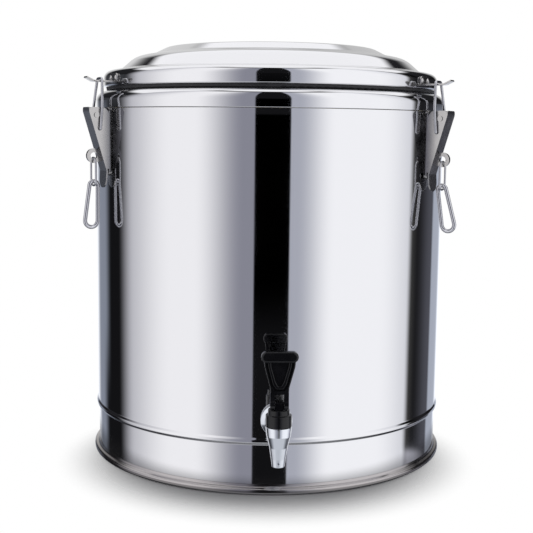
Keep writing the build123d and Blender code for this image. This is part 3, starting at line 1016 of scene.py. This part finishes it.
@dataclass
class Studio:
    """Camera, floor and the lights round the drum.

    Attributes:
        lens_mm: Focal length.
        sensor_mm: Width of the sensor.
        reach: Distance of the camera from the drum's axis, in metres.
        height: Height of the camera, in metres.
        azimuth: Degrees by which the camera stands to one side of the tap.
        pitch: Degrees by which it looks down.
        yaw: Degrees by which it looks past the axis.
        roll: Degrees by which it leans.
        panels: The soft lights.
        roof: Brightness of the white ceiling.
        roof_colour: Colour of the ceiling.
        roof_blur: Degrees over which its edge is soft.
        eave_front: Elevation of its edge over the tap.
        eave_back: Elevation of its edge behind the drum.
        eave_turn: Azimuths between which the edge comes down.
        ground: Elevations between which the lights give way to the ground.
        ground_front: Colour of the ground before the drum.
        ground_back: Colour of the ground behind it.
        ground_turn: Azimuths between which one becomes the other.
        floor_r: Radius of the floor, in metres.
        floor_sides: Corners of the floor.
        floor_gap: Space under the foot that keeps the floor from touching it, in metres.
        reflected_shade_tone: Dark colour of the floor that the drum reflects, a painted shade by
            the foot.
        reflected_shade_fade: How that painted shade clears.
        shown_shadow_tone: Grey of the floor that the camera sees, a painted shadow by the foot.
        shown_shadow_fade: How that painted shadow clears, off-centre towards the front.
    """

    lens_mm: float = 71.742
    sensor_mm: float = 36.0
    reach: float = 1.1265
    height: float = 0.3313
    azimuth: float = -2.87
    pitch: float = 7.198
    yaw: float = 0.093
    roll: float = 0.66
    panels: tuple[Panel, ...] = TALL_LIGHTS + EDGE_LIGHTS + ROOM_GLOW + BACK_LIGHTS
    roof: float = 1.15
    roof_colour: str = "#fcfcff"
    roof_blur: float = 7.0
    eave_front: float = 71.0
    eave_back: float = 32.0
    eave_turn: Span = (98.0, 110.0)
    ground: Span = (-36.0, -26.0)
    ground_front: str = "#d4d6dc"
    ground_back: str = "#5a5c62"
    ground_turn: Span = (60.0, 100.0)
    floor_r: float = 0.30
    floor_sides: int = 128
    floor_gap: float = 0.0002
    # Dark floor for the drum's reflection that clears only in part: a painted shade on the skirt by
    # the foot.
    reflected_shade_tone: str = "#303030"
    reflected_shade_fade: Fade = Fade((0.0, 0.0), 0.19, 0.238, 0.42)
    # Grey floor for the camera that clears off-centre towards the front: a painted shadow round the
    # foot, laid over the real shadow it takes.
    shown_shadow_tone: str = "#9c9c9b"
    shown_shadow_fade: Fade = Fade((-0.003, -0.053), 0.131, 0.217, 0.0)

    def camera(self) -> None:
        """Set the camera where the photograph was taken."""
        a, p = math.radians(self.azimuth), math.radians(self.pitch)
        y, w = math.radians(self.yaw), math.radians(self.roll)
        ahead = Vector((-math.sin(a), math.cos(a), 0))
        across = Vector((math.cos(a), math.sin(a), 0))
        up = Vector((0, 0, 1))
        level = ahead * math.cos(y) - across * math.sin(y)
        look = level * math.cos(p) - up * math.sin(p)
        flat = look.cross(up).normalized()
        steep = flat.cross(look)
        right = flat * math.cos(w) + steep * math.sin(w)
        top = steep * math.cos(w) - flat * math.sin(w)
        cam = bpy.data.objects.new("camera", bpy.data.cameras.new("camera"))
        cam.data.lens = self.lens_mm
        cam.data.sensor_width = self.sensor_mm
        cam.matrix_world = Matrix(
            (
                (right.x, top.x, -look.x, -ahead.x * self.reach),
                (right.y, top.y, -look.y, -ahead.y * self.reach),
                (right.z, top.z, -look.z, self.height),
                (0, 0, 0, 1),
            )
        )
        bpy.context.scene.collection.objects.link(cam)
        bpy.context.scene.camera = cam

    @staticmethod
    def directions(tree: bpy.types.NodeTree) -> tuple[Socket, Socket]:
        """Work out where a ray of the world comes from.

        Args:
            tree: Node tree of the world.

        Returns:
            Azimuth to the right of the tap and elevation, in degrees.
        """
        axes = add(tree, "SeparateXYZ", {"Vector": add(tree, "TexCoord").outputs["Generated"]})
        front = add(tree, "Math", {0: axes.outputs["Y"], 1: -1.0}, operation="MULTIPLY")
        turn = add(
            tree, "Math", {0: axes.outputs["X"], 1: front.outputs[0]}, operation="ARCTAN2"
        )
        azimuth = add(tree, "Math", {0: turn.outputs[0]}, operation="DEGREES")
        rise = add(tree, "Math", {0: axes.outputs["Z"]}, operation="ARCSINE")
        elevation = add(tree, "Math", {0: rise.outputs[0]}, operation="DEGREES")
        return azimuth.outputs[0], elevation.outputs[0]

    def lights(self, tree: bpy.types.NodeTree, azimuth: Socket, elevation: Socket) -> Socket:
        """Add up the soft lights.

        Args:
            tree: Node tree of the world.
            azimuth: Degrees round from the tap, to the right.
            elevation: Degrees over the horizon.

        Returns:
            Their light.
        """
        total, *others = (panel.glow(tree, azimuth, elevation) for panel in self.panels)
        for glow in others:
            total = add(tree, "VectorMath", {0: total, 1: glow}, operation="ADD").outputs[0]
        return total

    def underfoot(
        self, tree: bpy.types.NodeTree, lit: Socket, swing: Socket, elevation: Socket
    ) -> Socket:
        """Lay the ground under the lights.

        Args:
            tree: Node tree of the world.
            lit: Light so far.
            swing: Degrees round from the tap, to either side.
            elevation: Degrees over the horizon.

        Returns:
            The light with the ground in it.
        """
        below = add(
            tree,
            "MapRange",
            {
                "Value": elevation,
                "From Min": self.ground[0],
                "From Max": self.ground[1],
                "To Min": 1.0,
                "To Max": 0.0,
            },
            interpolation_type="SMOOTHSTEP",
        )
        back = add(
            tree,
            "MapRange",
            {"Value": swing, "From Min": self.ground_turn[0], "From Max": self.ground_turn[1]},
        )
        earth = add(
            tree,
            "Mix",
            {
                "Factor": back.outputs["Result"],
                "A": linear(self.ground_front)[:3],
                "B": linear(self.ground_back)[:3],
            },
            data_type="VECTOR",
        )
        return add(
            tree,
            "Mix",
            {"Factor": below.outputs["Result"], "A": lit, "B": earth.outputs["Result"]},
            data_type="VECTOR",
        ).outputs["Result"]

    def overhead(
        self, tree: bpy.types.NodeTree, lit: Socket, swing: Socket, elevation: Socket
    ) -> Socket:
        """Lay the white ceiling over the lights.

        Args:
            tree: Node tree of the world.
            lit: Light so far.
            swing: Degrees round from the tap, to either side.
            elevation: Degrees over the horizon.

        Returns:
            The light with the ceiling in it.
        """
        eave = add(
            tree,
            "MapRange",
            {
                "Value": swing,
                "From Min": self.eave_turn[0],
                "From Max": self.eave_turn[1],
                "To Min": self.eave_front,
                "To Max": self.eave_back,
            },
            interpolation_type="SMOOTHSTEP",
        )
        level = add(
            tree, "Math", {0: elevation, 1: eave.outputs["Result"]}, operation="SUBTRACT"
        )
        above = add(
            tree,
            "MapRange",
            {"Value": level.outputs[0], "From Min": 0.0, "From Max": self.roof_blur},
            interpolation_type="SMOOTHSTEP",
        )
        white = [self.roof * c for c in linear(self.roof_colour)[:3]]
        return add(
            tree,
            "Mix",
            {"Factor": above.outputs["Result"], "A": lit, "B": white},
            data_type="VECTOR",
        ).outputs["Result"]

    def world(self) -> None:
        """Paint the lights round the drum by direction, and white for the camera."""
        world = bpy.data.worlds.new("studio")
        bpy.context.scene.world = world
        world.use_nodes = True
        tree = world.node_tree
        tree.nodes.clear()
        azimuth, elevation = self.directions(tree)
        swing = add(tree, "Math", {0: azimuth}, operation="ABSOLUTE").outputs[0]
        lit = self.lights(tree, azimuth, elevation)
        lit = self.underfoot(tree, lit, swing, elevation)
        lit = self.overhead(tree, lit, swing, elevation)
        ray = add(tree, "LightPath").outputs["Is Camera Ray"]
        seen = add(
            tree, "Mix", {"Factor": ray, "A": lit, "B": (1.0, 1.0, 1.0)}, data_type="VECTOR"
        )
        light = add(tree, "Background", {"Color": seen.outputs["Result"], "Strength": 1.0})
        add(tree, "OutputWorld", {"Surface": light.outputs[0]})

    def floor(self) -> None:
        """Lay a round grey floor whose fades paint the drum's shadow and, in the drum, a darker
        shade.
        """
        bm = bmesh.new()
        bmesh.ops.create_circle(
            bm, cap_ends=True, segments=self.floor_sides, radius=self.floor_r
        )
        obj = place_mesh("floor", bm)
        obj.location.z = -self.floor_gap
        mat = bpy.data.materials.new("table top, grey with painted shadow")
        mat.use_nodes = True
        tree = mat.node_tree
        tree.nodes.clear()
        place = add(tree, "TexCoord").outputs["Object"]
        # Both fades leave the floor grey by the foot and clear it further out: a painted shadow for
        # the camera and a painted shade in the drum.
        clears = []
        for fade in (self.reflected_shade_fade, self.shown_shadow_fade):
            spot = add(
                tree, "VectorMath", {0: place, 1: (*fade.centre, 0.0)}, operation="SUBTRACT"
            )
            away = add(tree, "VectorMath", {0: spot.outputs[0]}, operation="LENGTH")
            fading = add(
                tree,
                "MapRange",
                {
                    "Value": away.outputs["Value"],
                    "From Min": fade.start,
                    "From Max": fade.reach,
                    "To Min": fade.least,
                },
                interpolation_type="SMOOTHSTEP",
            )
            clears.append(fading.outputs["Result"])
        ray = add(tree, "LightPath").outputs["Is Camera Ray"]
        clear = add(tree, "Mix", {"Factor": ray, "A": clears[0], "B": clears[1]})
        # Grey for the camera and dark for the drum: a painted shadow and a painted shade.
        tone = add(
            tree,
            "Mix",
            {"Factor": ray, "A": linear(self.reflected_shade_tone), "B": linear(self.shown_shadow_tone)},
            data_type="RGBA",
        )
        shadow_paint = add(tree, "BsdfDiffuse", {"Color": tone.outputs["Result"]})
        air = add(tree, "BsdfTransparent")
        mix = add(
            tree,
            "MixShader",
            {0: clear.outputs["Result"], 1: shadow_paint.outputs[0], 2: air.outputs[0]},
        )
        add(tree, "OutputMaterial", {"Surface": mix.outputs[0]})
        dress(obj, mat)

    def build(self) -> None:
        """Set up the whole studio."""
        self.camera()
        self.world()
        self.floor()
        bpy.context.scene.view_settings.view_transform = "Standard"


def main() -> None:
    """Build every sub-assembly and the studio."""
    logging.basicConfig(level=logging.INFO)
    Studio().build()
    sheet, spun, stamped, drawn = (m.build() for m in (SHEET, SPUN, STAMPED, DRAWN))
    foam = FOAM.build()
    Drum().build(sheet, ROLLED.build(), drawn, foam)
    Lid().build(spun, stamped, drawn, SILICONE.build(), foam)
    Latches().build(stamped, WIRE.build())
    Tap().build(
        CHROME.build(),
        ABS.build(),
        stamped,
        SILICONE_NATURAL.build(),
        SPRING.build(),
        SLEEVE.build(),
    )


if __name__ == "__main__":
    main()
